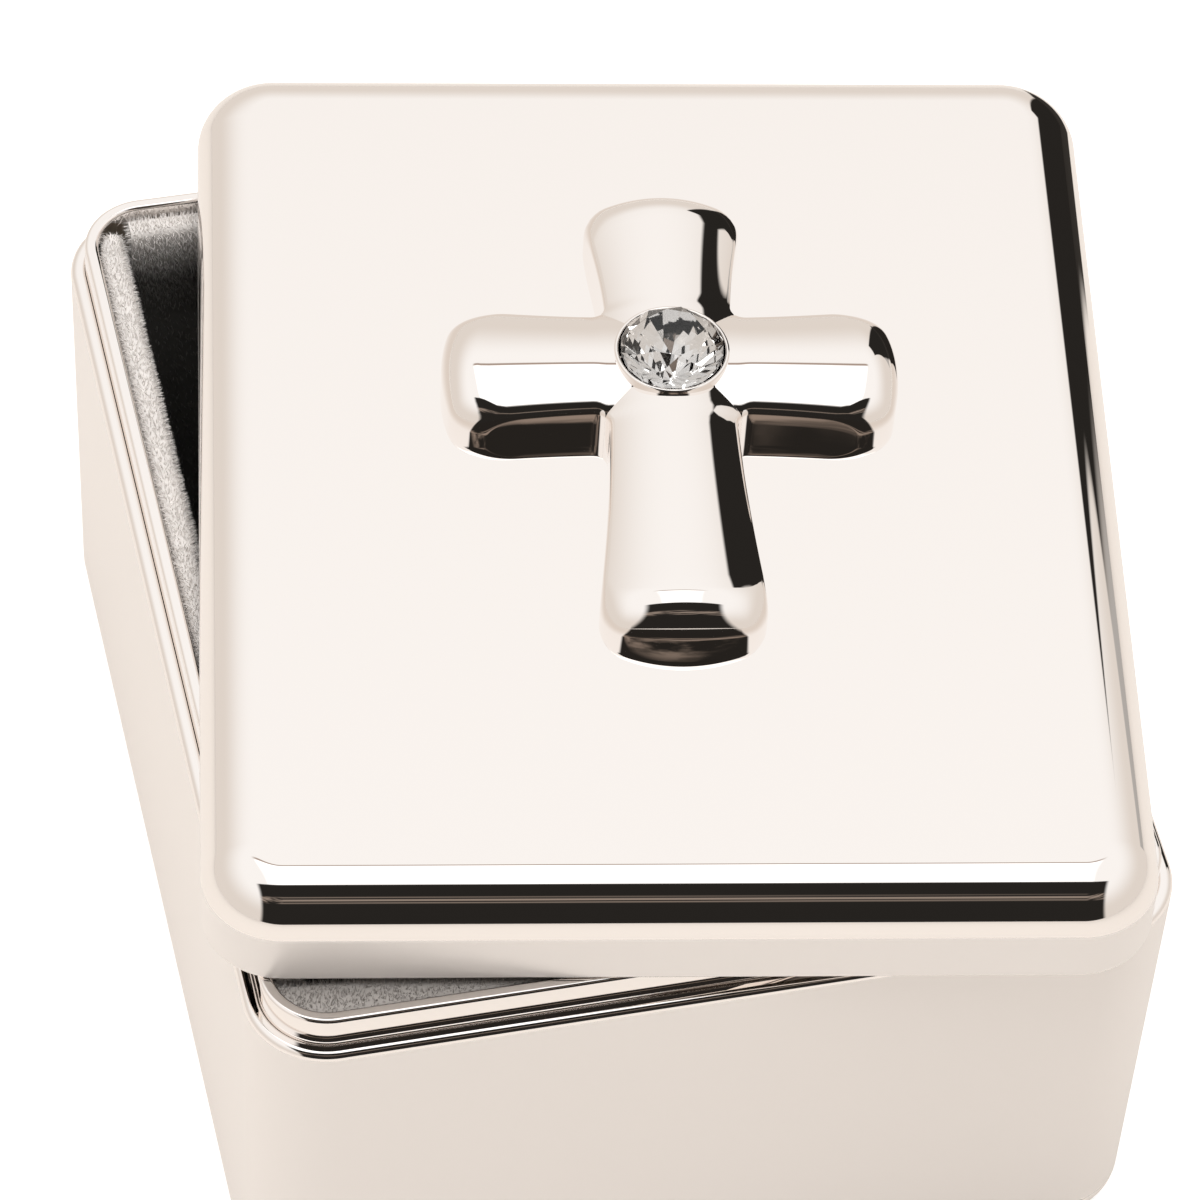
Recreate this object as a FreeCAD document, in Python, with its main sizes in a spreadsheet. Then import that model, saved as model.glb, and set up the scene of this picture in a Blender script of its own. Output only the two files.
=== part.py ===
"""Keepsake box: a polished tub with a raised collar and velvet lining, and a loose
cap lid that carries a cross with one round cut stone. The lid lies askew on the collar.

Frame: millimetres, +Z up, +Y to the back, origin at the centre of the tub's underside.
"""
import FreeCAD, Part
import math
import os

import Sketcher

# Driving dimensions: name, size in millimetres or degrees, what it is
DIMENSIONS = [
    ("base_width", 52.3, "tub across the ledge, along X"),
    ("base_depth", 63.3, "tub across the ledge, along Y"),
    ("base_height", 29.0, "underside to ledge"),
    ("base_taper", 0.5, "how far each wall draws in at the foot"),
    ("base_corner", 4.6, "plan radius of the tub's upright corners"),
    ("base_foot_round", 3.0, "rounding between wall and underside"),
    ("base_shoulder", 0.35, "rounding at the outer edge of the ledge"),
    ("base_floor", 1.6, "thickness of the tub's floor"),
    ("ledge_width", 0.85, "outer face to collar, at the ledge"),
    ("collar_wall", 0.8, "thickness of the collar"),
    ("collar_height", 8.0, "whole height of the collar"),
    ("collar_rise", 2.0, "how far the collar stands above the ledge"),
    ("collar_round", 0.25, "rounding of the collar's top edges"),
    ("card_thickness", 0.6, "stiff card behind the velvet"),
    ("velvet_thickness", 1.2, "velvet with its pile"),
    ("front_velvet_thickness", 2.2, "the fuller velvet on the front panel"),
    ("lid_velvet_thickness", 0.9, "the flatter velvet under the lid's top"),
    ("lining_gap", 0.15, "play between a lining panel and what is beside it"),
    ("lining_drop", 0.2, "top of the lining below the top of the collar"),
    ("lid_clearance", 0.1, "play between the collar and the lid's skirt"),
    ("lid_wall", 0.6, "thickness of the lid's skirt"),
    ("lid_height", 6.4, "skirt edge to flat top"),
    ("lid_top", 0.6, "thickness of the lid's flat top"),
    ("lid_edge_round", 3.0, "rounding between the flat top and the skirt"),
    ("lid_hem_round", 0.2, "rounding of the skirt's lower edge"),
    ("lid_turn", -10.34, "how far the lid is turned about Z where it lies"),
    ("lid_shift_x", 2.82, "how far the lid lies off centre along X"),
    ("lid_shift_y", -0.41, "how far the lid lies off centre along Y"),
    ("cross_place_x", 0.7, "crossing of the arms from the lid's centre, along the lid's X"),
    ("cross_place_y", 5.65, "crossing of the arms from the lid's centre, along the lid's Y"),
    ("arm_up", 13.1, "crossing to the end of the upper arm"),
    ("arm_down", 19.5, "crossing to the end of the lower arm"),
    ("arm_side", 13.0, "crossing to the end of each side arm"),
    ("arm_waist", 3.6, "half width of every arm where the arms meet"),
    ("upright_end", 4.6, "half width of the upper and lower arms at their ends"),
    ("side_end", 4.3, "half width of the side arms at their ends"),
    ("arm_bulge", 1.1, "how far each arm's end bulges"),
    ("arm_corner", 3.1, "plan radius at the corners of the arms' ends"),
    ("inner_corner", 0.6, "plan radius where two arms meet"),
    ("cross_foot", 0.1, "upright foot of the cross below its rounding"),
    ("cross_crest", 0.15, "least flat left at the top of the rounding"),
    ("seat_floor", 1.05, "metal of the cross below the stone's seat"),
    ("stone_diameter", 6.1, "stone across its girdle"),
    ("stone_table", 3.6, "stone across the corners of its table"),
    ("stone_crown", 1.6, "girdle to table"),
    ("stone_girdle", 0.3, "thickness of the girdle"),
    ("stone_pavilion", 1.7, "girdle to the point below"),
    ("stone_play", 0.05, "play round the stone in its seat"),
]

# Sizes that follow from the driving ones, as expressions on the sheet
COLLAR_X = "(Dims.base_width / 2 - Dims.ledge_width)"
COLLAR_Y = "(Dims.base_depth / 2 - Dims.ledge_width)"
COLLAR_CORNER = "(Dims.base_corner - Dims.ledge_width)"
MOUTH_X = f"({COLLAR_X} - Dims.collar_wall)"
MOUTH_Y = f"({COLLAR_Y} - Dims.collar_wall)"
MOUTH_CORNER = f"({COLLAR_CORNER} - Dims.collar_wall)"
COLLAR_TOP = "(Dims.base_height + Dims.collar_rise)"
LINING = "(Dims.card_thickness + Dims.velvet_thickness)"
FRONT_LINING = "(Dims.card_thickness + Dims.front_velvet_thickness)"
LINING_FOOT = f"(Dims.base_floor + {LINING})"
LINING_TOP = f"({COLLAR_TOP} - Dims.lining_drop)"
LID_INNER_X = f"({COLLAR_X} + Dims.lid_clearance)"
LID_INNER_Y = f"({COLLAR_Y} + Dims.lid_clearance)"
LID_INNER_CORNER = f"({COLLAR_CORNER} + Dims.lid_clearance)"
LID_X = f"({LID_INNER_X} + Dims.lid_wall)"
LID_Y = f"({LID_INNER_Y} + Dims.lid_wall)"
LID_CORNER = f"({LID_INNER_CORNER} + Dims.lid_wall)"
LID_INNER_ROUND = "(Dims.lid_edge_round - Dims.lid_wall)"
LID_CEILING = "(Dims.lid_height - Dims.lid_top)"
LID_LINING_INSET = f"({LID_INNER_ROUND} + Dims.lining_gap)"
SEAT_DEPTH = "(Dims.stone_girdle + Dims.stone_pavilion)"
CROSS_HEIGHT = f"({SEAT_DEPTH} + Dims.seat_floor)"
ARM_CORNER = "min(Dims.arm_corner; Dims.side_end - Dims.arm_bulge; Dims.upright_end - Dims.arm_bulge)"
CROSS_ROUND = (f"min({CROSS_HEIGHT} - Dims.cross_foot; Dims.arm_waist - Dims.cross_crest;"
               f" {ARM_CORNER} - Dims.cross_crest)")

STONE_SIDES = 16
POSITION_TOLERANCE = 1e-4

doc = FreeCAD.newDocument("keepsake_box")
sheet = doc.addObject("Spreadsheet::Sheet", "Dims")
for row, (name, size, meaning) in enumerate(DIMENSIONS, start=1):
    sheet.set(f"A{row}", meaning)
    sheet.set(f"B{row}", str(size))
    sheet.setAlias(f"B{row}", name)
doc.recompute()


def value(expression):
    """The number that an expression on the sheet comes to."""
    return float(sheet.evalExpression(expression))


def bind(obj, **sizes):
    """Binds properties to expressions; a double underscore stands for a dot."""
    for name, expression in sizes.items():
        obj.setExpression(name.replace("__", "."), expression)


def new_body(label):
    body = doc.addObject("PartDesign::Body", label)
    body.Label = label
    return body


def origin_plane(body, role):
    return next(plane for plane in body.Origin.OriginFeatures if plane.Role == role)


def new_sketch(body, name, height="0"):
    """An empty sketch on the body's XY plane, raised to the given height."""
    sketch = body.newObject("Sketcher::SketchObject", name)
    sketch.AttachmentSupport = [(origin_plane(body, "XY_Plane"), "")]
    sketch.MapMode = "FlatFace"
    bind(sketch, AttachmentOffset__Base__z=height)
    doc.recompute()
    return sketch


def dimension(sketch, name, expression, *constraint):
    """Adds a dimension to a sketch and binds it to the sheet."""
    index = sketch.addConstraint(Sketcher.Constraint(*constraint, value(expression)))
    sketch.renameConstraint(index, name)
    sketch.setExpression(f"Constraints.{name}", expression)


def draw_rounded_rectangle(sketch, half_x, half_y, radius, name):
    """A centred rectangle with round corners, from expressions for its half sizes and radius."""
    across, along, corner = value(half_x), value(half_y), value(radius)
    inner_x, inner_y = across - corner, along - corner
    lines = []
    arcs = []
    sides = [((-inner_x, -along), (inner_x, -along)), ((across, -inner_y), (across, inner_y)),
             ((inner_x, along), (-inner_x, along)), ((-across, inner_y), (-across, -inner_y))]
    centres = [(inner_x, -inner_y), (inner_x, inner_y), (-inner_x, inner_y), (-inner_x, -inner_y)]
    for quarter, (ends, centre) in enumerate(zip(sides, centres)):
        start, end = (FreeCAD.Vector(x, y, 0) for x, y in ends)
        lines.append(sketch.addGeometry(Part.LineSegment(start, end), False))
        circle = Part.Circle(FreeCAD.Vector(*centre, 0), FreeCAD.Vector(0, 0, 1), corner)
        first_angle = math.radians(90 * quarter - 90)
        arc = Part.ArcOfCircle(circle, first_angle, first_angle + math.pi / 2)
        arcs.append(sketch.addGeometry(arc, False))
    for quarter in range(4):
        sketch.addConstraint(Sketcher.Constraint("Tangent", lines[quarter], 2, arcs[quarter], 1))
        following = lines[(quarter + 1) % 4]
        sketch.addConstraint(Sketcher.Constraint("Tangent", arcs[quarter], 2, following, 1))
        direction = "Horizontal" if quarter % 2 == 0 else "Vertical"
        sketch.addConstraint(Sketcher.Constraint(direction, lines[quarter]))
    for arc in arcs[1:]:
        sketch.addConstraint(Sketcher.Constraint("Equal", arcs[0], arc))
    sketch.addConstraint(Sketcher.Constraint("Symmetric", arcs[0], 3, arcs[2], 3, -1, 1))
    dimension(sketch, f"{name}_width", f"2 * {half_x}", "DistanceX", lines[3], 1, lines[1], 1)
    dimension(sketch, f"{name}_depth", f"2 * {half_y}", "DistanceY", lines[0], 1, lines[2], 1)
    dimension(sketch, f"{name}_corner", radius, "Radius", arcs[0])


def add_pad(body, sketch, name, length):
    pad = body.newObject("PartDesign::Pad", name)
    pad.Profile = sketch
    bind(pad, Length=length)
    doc.recompute()
    return pad


def add_pocket(body, sketch, name, length, upwards=False):
    """A pocket that has to take material away; it cuts downwards unless told otherwise."""
    before = body.Shape.Volume
    pocket = body.newObject("PartDesign::Pocket", name)
    pocket.Profile = sketch
    pocket.Reversed = upwards
    bind(pocket, Length=length)
    doc.recompute()
    if body.Shape.Volume >= before:
        raise RuntimeError(f"{body.Label}: {name} cuts nothing")
    return pocket


def level_edges(shape, height):
    """Names of the edges that lie wholly at one height."""
    names = []
    for number, edge in enumerate(shape.Edges, start=1):
        box = edge.BoundBox
        if max(abs(box.ZMin - height), abs(box.ZMax - height)) < POSITION_TOLERANCE:
            names.append(f"Edge{number}")
    return names


def upright_edges(shape, places):
    """Names of the upright edges that stand at the given (x, y) places."""
    names = []
    for number, edge in enumerate(shape.Edges, start=1):
        box = edge.BoundBox
        if box.XLength > POSITION_TOLERANCE or box.YLength > POSITION_TOLERANCE:
            continue
        if any(math.hypot(box.XMin - x, box.YMin - y) < POSITION_TOLERANCE for x, y in places):
            names.append(f"Edge{number}")
    return names


def add_fillet(body, base, name, radius, edges):
    if not edges:
        raise RuntimeError(f"{body.Label}: {name} has no edges")
    fillet = body.newObject("PartDesign::Fillet", name)
    fillet.Base = (base, edges)
    bind(fillet, Radius=radius)
    doc.recompute()
    return fillet


def new_box(label, length, width, height, x, y, z):
    box = doc.addObject("Part::Box", label)
    box.Label = label
    bind(box, Length=length, Width=width, Height=height)
    bind(box, Placement__Base__x=x, Placement__Base__y=y, Placement__Base__z=z)
    return box


def make_base_shell():
    """The tub: walls that draw in a little at the foot, a ledge, a seat for the collar and a cavity."""
    body = new_body("base_shell")
    outline = new_sketch(body, "base_outline", "Dims.base_height")
    draw_rounded_rectangle(outline, "(Dims.base_width / 2)", "(Dims.base_depth / 2)",
                           "Dims.base_corner", "base")
    pad = add_pad(body, outline, "base_pad", "Dims.base_height")
    pad.Reversed = True
    bind(pad, TaperAngle="-atan(Dims.base_taper / Dims.base_height)")
    doc.recompute()
    straight = Part.Face(outline.Shape.Wires[0]).Area * value("Dims.base_height")
    if body.Shape.Volume > straight:
        raise RuntimeError("base_shell: the walls lean the wrong way")
    foot = add_fillet(body, pad, "base_foot", "Dims.base_foot_round", level_edges(pad.Shape, 0))
    ledge_edges = level_edges(foot.Shape, value("Dims.base_height"))
    add_fillet(body, foot, "base_shoulder_round", "Dims.base_shoulder", ledge_edges)
    seat = new_sketch(body, "collar_seat_outline", "Dims.base_height")
    draw_rounded_rectangle(seat, COLLAR_X, COLLAR_Y, COLLAR_CORNER, "seat")
    add_pocket(body, seat, "collar_seat", "Dims.collar_height - Dims.collar_rise")
    cavity = new_sketch(body, "base_cavity", "Dims.base_height")
    draw_rounded_rectangle(cavity, MOUTH_X, MOUTH_Y, MOUTH_CORNER, "cavity")
    add_pocket(body, cavity, "base_hollow", "Dims.base_height - Dims.base_floor")
    return body


def make_rim_collar():
    """The ring inside the tub's mouth that stands above the ledge and locates the lid."""
    body = new_body("rim_collar")
    ring = new_sketch(body, "collar_ring", f"{COLLAR_TOP} - Dims.collar_height")
    draw_rounded_rectangle(ring, COLLAR_X, COLLAR_Y, COLLAR_CORNER, "outer")
    draw_rounded_rectangle(ring, MOUTH_X, MOUTH_Y, MOUTH_CORNER, "inner")
    pad = add_pad(body, ring, "collar_pad", "Dims.collar_height")
    add_fillet(body, pad, "collar_edge", "Dims.collar_round",
               level_edges(pad.Shape, value(COLLAR_TOP)))
    return body


def make_cavity_layer(label, foot, thickness):
    """A level layer that fills the cavity's outline, less the lining's play."""
    body = new_body(label)
    outline = new_sketch(body, f"{label}_outline", foot)
    draw_rounded_rectangle(outline, f"({MOUTH_X} - Dims.lining_gap)",
                           f"({MOUTH_Y} - Dims.lining_gap)",
                           f"({MOUTH_CORNER} - Dims.lining_gap)", "sheet")
    add_pad(body, outline, f"{label}_pad", thickness)
    return body


def make_wall_panel(side, axis, sign):
    """One lined panel inside a wall: a card, and velvet over its face and its top edge.

    axis is the axis that the panel's thickness lies along; sign tells which of the two walls.
    The velvet on the front panel is fuller and fills the round corners; the others stop short of them.
    """
    mouth, other_mouth = (MOUTH_X, MOUTH_Y) if axis == "x" else (MOUTH_Y, MOUTH_X)
    # The panel's back edge stops where the round corner comes within the gap of it
    corner_room = f"sqrt({MOUTH_CORNER} ^ 2 - ({MOUTH_CORNER} - Dims.lining_gap) ^ 2)"
    to_corner = f"{other_mouth} - {MOUTH_CORNER} + {corner_room} - Dims.lining_gap"
    lining = FRONT_LINING if side == "front" else LINING
    to_panel = f"{other_mouth} - {LINING} - 2 * Dims.lining_gap"
    high_end = f"min({to_corner}; {to_panel})"
    low_end = high_end
    if axis == "x":
        low_end = f"min({to_corner}; {other_mouth} - {FRONT_LINING} - 2 * Dims.lining_gap)"
    back = f"({mouth} - Dims.lining_gap)"
    height = f"({LINING_TOP} - {LINING_FOOT})"
    card_height = f"({height} - Dims.velvet_thickness)"

    def slab(label, thickness, tall, low, high):
        """A slab whose back is at the panel's back, between its two ends."""
        across = f"-{back}" if sign < 0 else f"({back} - {thickness})"
        along = f"{low} + {high}"
        if axis == "x":
            return new_box(label, thickness, along, tall, across, f"-{low}", LINING_FOOT)
        return new_box(label, along, thickness, tall, f"-{low}", across, LINING_FOOT)

    card = slab(f"{side}_card", "Dims.card_thickness", card_height, low_end, high_end)
    room = slab(f"{side}_card_room", "Dims.card_thickness", card_height, low_end, high_end)
    if side == "front":
        whole = f"({other_mouth} - Dims.lining_gap)"
        blank = doc.addObject("Part::Common", "front_velvet_blank")
        blank.Base = slab("front_velvet_slab", lining, height, whole, whole)
        blank.Tool = make_cavity_layer("front_velvet_outline", LINING_FOOT, height)
    else:
        blank = slab(f"{side}_velvet_blank", lining, height, low_end, high_end)
    velvet = doc.addObject("Part::Cut", f"{side}_velvet")
    velvet.Label = f"{side}_velvet"
    velvet.Base = blank
    velvet.Tool = room
    doc.recompute()
    return [card, velvet]


def make_lid_shell():
    """The cap: a flat top, a large rounding all round and a plain skirt."""
    body = new_body("lid_shell")
    outline = new_sketch(body, "lid_outline")
    draw_rounded_rectangle(outline, LID_X, LID_Y, LID_CORNER, "lid")
    add_pad(body, outline, "lid_pad", "Dims.lid_height")
    hollow = new_sketch(body, "lid_hollow_outline")
    draw_rounded_rectangle(hollow, LID_INNER_X, LID_INNER_Y, LID_INNER_CORNER, "hollow")
    pocket = add_pocket(body, hollow, "lid_hollow", LID_CEILING, upwards=True)
    ceiling = add_fillet(body, pocket, "lid_ceiling_edge", LID_INNER_ROUND,
                         level_edges(pocket.Shape, value(LID_CEILING)))
    rounded = add_fillet(body, ceiling, "lid_edge", "Dims.lid_edge_round",
                         level_edges(ceiling.Shape, value("Dims.lid_height")))
    add_fillet(body, rounded, "lid_hem", "Dims.lid_hem_round", level_edges(rounded.Shape, 0))
    return body


def make_lid_layer(label, top, thickness):
    """A flat sheet of lining under the lid's top, inside the rounding; top is its upper face."""
    body = new_body(label)
    outline = new_sketch(body, f"{label}_outline", f"{top} - {thickness}")
    draw_rounded_rectangle(outline, f"({LID_INNER_X} - {LID_LINING_INSET})",
                           f"({LID_INNER_Y} - {LID_LINING_INSET})", LID_INNER_CORNER, "sheet")
    add_pad(body, outline, f"{label}_pad", thickness)
    return body


def draw_cross(sketch):
    """The outline of a cross with flared arms and bulging ends, crossing at the origin."""
    up, down, side = (value(f"Dims.{name}") for name in ("arm_up", "arm_down", "arm_side"))
    waist, bulge = value("Dims.arm_waist"), value("Dims.arm_bulge")
    upright, level = value("Dims.upright_end"), value("Dims.side_end")
    right = [(upright, up - bulge), (waist, waist), (side - bulge, level),
             (side - bulge, -level), (waist, -waist), (upright, bulge - down)]
    corners = right + [(-x, y) for x, y in reversed(right)]
    tips = {2: (side, 0), 5: (0, -down), 8: (-side, 0), 11: (0, up)}
    edges = []
    for number, corner in enumerate(corners):
        following = corners[(number + 1) % len(corners)]
        start, end = FreeCAD.Vector(*corner, 0), FreeCAD.Vector(*following, 0)
        if number in tips:
            edge = Part.Arc(start, FreeCAD.Vector(*tips[number], 0), end)
        else:
            edge = Part.LineSegment(start, end)
        edges.append(sketch.addGeometry(edge, False))
    # An arc is kept anticlockwise, so its ends are the other way round on this outline
    first = [2 if number in tips else 1 for number in range(len(corners))]
    last = [3 - end for end in first]
    for number, edge in enumerate(edges):
        following = (number + 1) % len(edges)
        joint = (edge, last[number], edges[following], first[following])
        sketch.addConstraint(Sketcher.Constraint("Coincident", *joint))
    for number in range(len(right)):
        mirrored = len(corners) - 1 - number
        pair = (edges[number], first[number], edges[mirrored], first[mirrored], -2)
        sketch.addConstraint(Sketcher.Constraint("Symmetric", *pair))

    def place(number, name, x, y, below=False):
        """Dimensions one corner from the crossing."""
        point = (edges[number], first[number])
        dimension(sketch, f"{name}_x", x, "DistanceX", -1, 1, *point)
        ends = (*point, -1, 1) if below else (-1, 1, *point)
        dimension(sketch, f"{name}_y", y, "DistanceY", *ends)

    place(0, "upper_end", "Dims.upright_end", "Dims.arm_up - Dims.arm_bulge")
    place(1, "upper_waist", "Dims.arm_waist", "Dims.arm_waist")
    place(2, "side_upper", "Dims.arm_side - Dims.arm_bulge", "Dims.side_end")
    place(3, "side_lower", "Dims.arm_side - Dims.arm_bulge", "Dims.side_end", below=True)
    place(4, "lower_waist", "Dims.arm_waist", "Dims.arm_waist", below=True)
    place(5, "lower_end", "Dims.upright_end", "Dims.arm_down - Dims.arm_bulge", below=True)
    for number, half in ((2, "side_end"), (5, "upright_end"), (8, "side_end"), (11, "upright_end")):
        radius = f"(Dims.{half} ^ 2 + Dims.arm_bulge ^ 2) / (2 * Dims.arm_bulge)"
        dimension(sketch, f"tip_{number}", radius, "Radius", edges[number])
    ends = [corners[number] for number in (0, 2, 3, 5, 6, 8, 9, 11)]
    inner = [corners[number] for number in (1, 4, 7, 10)]
    return ends, inner


def make_cross():
    """The cast cross: half round arms that widen to bulging ends, with a seat for the stone."""
    body = new_body("cross")
    outline = new_sketch(body, "cross_outline")
    ends, inner = draw_cross(outline)
    pad = add_pad(body, outline, "cross_pad", CROSS_HEIGHT)
    corners = add_fillet(body, pad, "cross_end_corners", ARM_CORNER, upright_edges(pad.Shape, ends))
    valleys = add_fillet(body, corners, "cross_inner_corners", "Dims.inner_corner",
                         upright_edges(corners.Shape, inner))
    add_fillet(body, valleys, "cross_rounding", CROSS_ROUND,
               level_edges(valleys.Shape, value(CROSS_HEIGHT)))
    seat = new_sketch(body, "stone_seat_outline", CROSS_HEIGHT)
    circle = Part.Circle(FreeCAD.Vector(), FreeCAD.Vector(0, 0, 1), value("Dims.stone_diameter") / 2)
    ring = seat.addGeometry(circle, False)
    seat.addConstraint(Sketcher.Constraint("Coincident", ring, 3, -1, 1))
    dimension(seat, "seat_radius", "Dims.stone_diameter / 2 + Dims.stone_play", "Radius", ring)
    add_pocket(body, seat, "stone_seat", SEAT_DEPTH)
    return body


def make_stone():
    """The cut stone, point down at the origin: a table, a crown of flat facets and a pavilion."""
    girdle_radius = value("Dims.stone_diameter / 2")
    table_radius = value("Dims.stone_table / 2")
    girdle_low = value("Dims.stone_pavilion")
    girdle_high = value("Dims.stone_pavilion + Dims.stone_girdle")
    table_height = girdle_high + value("Dims.stone_crown")

    def ring(radius, height, count):
        turns = [2 * math.pi * number / count for number in range(count)]
        return [FreeCAD.Vector(radius * math.cos(a), radius * math.sin(a), height) for a in turns]

    point = FreeCAD.Vector(0, 0, 0)
    low = ring(girdle_radius, girdle_low, STONE_SIDES)
    high = ring(girdle_radius, girdle_high, STONE_SIDES)
    table = ring(table_radius, table_height, STONE_SIDES // 2)
    facets = [table]
    for number in range(STONE_SIDES):
        following = (number + 1) % STONE_SIDES
        facets.append([point, low[following], low[number]])
        facets.append([low[number], low[following], high[following], high[number]])
        nearest = table[((number + 1) // 2) % len(table)]
        facets.append([high[number], high[following], nearest])
    for number, corner in enumerate(table):
        following = table[(number + 1) % len(table)]
        facets.append([corner, high[2 * number + 1], following])
    faces = [Part.Face(Part.makePolygon(facet + facet[:1])) for facet in facets]
    solid = Part.Solid(Part.Shell(faces))
    if solid.Volume < 0:
        solid.reverse()
    stone = doc.addObject("Part::Feature", "stone")
    stone.Label = "stone"
    stone.Shape = solid
    return stone


def lay_on_lid(obj, x="0", y="0", height="0"):
    """Places an object in the lid's own frame, with the lid as it lies on the collar."""
    start_turn = FreeCAD.Rotation(FreeCAD.Vector(0, 0, 1), value("Dims.lid_turn"))
    obj.Placement = FreeCAD.Placement(FreeCAD.Vector(), start_turn)
    turn = "Dims.lid_turn"
    bind(obj, Placement__Base__x=f"Dims.lid_shift_x + {x} * cos({turn}) - {y} * sin({turn})",
         Placement__Base__y=f"Dims.lid_shift_y + {x} * sin({turn}) + {y} * cos({turn})",
         Placement__Base__z=f"{COLLAR_TOP} + {height}", Placement__Rotation__Angle=turn)


def build():
    """Makes every sub-part and gives them as a list."""
    pieces = [make_base_shell(), make_rim_collar()]
    pieces.append(make_cavity_layer("floor_card", "Dims.base_floor", "Dims.card_thickness"))
    pieces.append(make_cavity_layer("floor_velvet", "Dims.base_floor + Dims.card_thickness",
                                   "Dims.velvet_thickness"))
    for side, axis, sign in (("left", "x", -1), ("right", "x", 1), ("front", "y", -1), ("back", "y", 1)):
        pieces += make_wall_panel(side, axis, sign)
    lid_shell = make_lid_shell()
    lid_card = make_lid_layer("lid_card", LID_CEILING, "Dims.card_thickness")
    lid_velvet = make_lid_layer("lid_velvet", f"({LID_CEILING} - Dims.card_thickness)",
                                "Dims.lid_velvet_thickness")
    for piece in (lid_shell, lid_card, lid_velvet):
        lay_on_lid(piece)
        pieces.append(piece)
    cross = make_cross()
    stone = make_stone()
    lay_on_lid(cross, "Dims.cross_place_x", "Dims.cross_place_y", "Dims.lid_height")
    lay_on_lid(stone, "Dims.cross_place_x", "Dims.cross_place_y", "Dims.lid_height + Dims.seat_floor")
    return pieces + [cross, stone]


def check(pieces):
    """Stops if anything in the document failed or a sub-part isn't one sound solid."""
    doc.recompute()
    for obj in doc.Objects:
        if "Invalid" in obj.State or "Error" in obj.State:
            raise RuntimeError(f"{obj.Label} failed: {obj.State}")
    for piece in pieces:
        shape = piece.Shape
        if shape.isNull() or not shape.isValid() or len(shape.Solids) != 1:
            raise RuntimeError(f"{piece.Label} isn't one sound solid")


sub_parts = build()
check(sub_parts)
os.makedirs("parts", exist_ok=True)
for sub_part in sub_parts:
    sub_part.Shape.exportStep(f"parts/{sub_part.Label}.step")
    print(f"{sub_part.Label}: {sub_part.Shape.Volume:.1f} mm3")
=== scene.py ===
"""Keepsake box: a polished plated tub and cap lid with a raised cross, a cut stone and a velvet lining.

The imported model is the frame: every piece made here stands where its solid does, in metres.
"""

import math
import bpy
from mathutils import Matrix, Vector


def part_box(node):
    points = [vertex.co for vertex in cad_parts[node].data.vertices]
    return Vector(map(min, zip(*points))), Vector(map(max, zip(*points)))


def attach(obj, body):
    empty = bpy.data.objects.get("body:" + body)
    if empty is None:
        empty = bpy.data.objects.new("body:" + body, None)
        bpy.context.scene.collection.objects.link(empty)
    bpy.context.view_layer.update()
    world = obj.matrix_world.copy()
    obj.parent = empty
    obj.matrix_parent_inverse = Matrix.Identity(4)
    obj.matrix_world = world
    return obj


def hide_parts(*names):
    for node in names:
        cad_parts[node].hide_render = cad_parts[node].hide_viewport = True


bl_info = {
    "name": "Keepsake Box",
    "version": (1, 0, 0),
    "blender": (4, 5, 0),
    "location": "3D View > Sidebar > Keepsake",
    "description": "Builds a polished keepsake box with a velvet lining and a lid with a raised cross",
    "category": "Object",
}

import bmesh
import bpy
from mathutils import Matrix, Vector, noise

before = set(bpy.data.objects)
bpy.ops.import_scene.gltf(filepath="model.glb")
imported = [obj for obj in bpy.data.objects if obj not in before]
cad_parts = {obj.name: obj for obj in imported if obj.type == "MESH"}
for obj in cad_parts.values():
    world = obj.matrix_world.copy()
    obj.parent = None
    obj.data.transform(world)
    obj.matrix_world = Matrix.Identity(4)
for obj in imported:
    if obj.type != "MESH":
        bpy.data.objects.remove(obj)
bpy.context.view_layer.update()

MM = 0.001
PER_AREA = 1 / MM ** 2
WHITE = (1, 1, 1)

# How finely the meshes are divided
CORNER_STEPS = 28
ARM_SIDE_STEPS = 14
ARM_CROWN_STEPS = 14
ARM_ROWS = 26
ARM_ROW_POWER = 1.6
ARM_END_ROWS = 18
BEZEL_SIDES = 96
FACETS = 8
PAD_EDGE_STEPS = 6
PAD_ROWS = 26
PAD_SLICES = 120

# What tells surfaces apart: the way they face, the angle of an edge, the space between points
SATIN_FACING = 0.999
WALL_PILE_FACING = 0.3
FLAT_PILE_FACING = 0.8
CROSS_CREASE = math.radians(32)
PAD_CREASE = math.radians(50)
WELD = 1e-7
TOUCH = 1e-6

# The velvet's fibres: tones and sizes against the whole, and turns about a fibre's own axes against its lean
ROOT_TONE = 0.85
FIBRE_TONES = (0.86, 1.04)
FIBRE_SIZES = (0.65, 1.0)
FIBRE_SIDES = 3
FIBRE_TURNS = (1, 1, 6)
WANDER_SCALE = 420.0

# The finishes: roughness from least to most, what satin adds or leaves, and how light the pile's patches are
PLATE_ROUGHNESS = (0.003, 0.014)
SATIN_ROUGHNESS = (0.0, 0.36)
SATIN_METALLIC = (1.0, 0.4)
GLASS_ROUGHNESS = (0.0, 0.012)
FOIL_ROUGHNESS = (0.01, 0.05)
PILE_PATCHES = (0.8, 1.15)
CARD_FIBRES = 0.8

# Bearings of what the plate mirrors, in degrees; a band has a low end, a high end and soft edges
PANEL_OVER = (77.0, 116.0, 0.8)
PANEL_SIDE = (-15.0, 15.0, 2.0)
EDGE_OVER = (116.5, 118.5, 0.6)
EDGE_SIDE = (-15.0, 15.0, 4.0)
FRONT_OVER = (-4.0, 76.5, 1.0)
FRONT_SIDE = (-27.0, 31.0, 3.0)
STREAK_OVER = (40.0, 52.0, 2.0)
FLAG_AROUND = (22.0, 49.5, 1.0)
BESIDE_AROUND = (49.5, 55.5, 1.0)
FLAG_BEND_AROUND = 40.0
FLAG_SLOPE = 2.6
FLAG_FADE = 1.1
FLAG_TOP_ABOVE = (35.0, 37.0)
WALLS_ABOVE = (12.0, 54.0)

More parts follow.
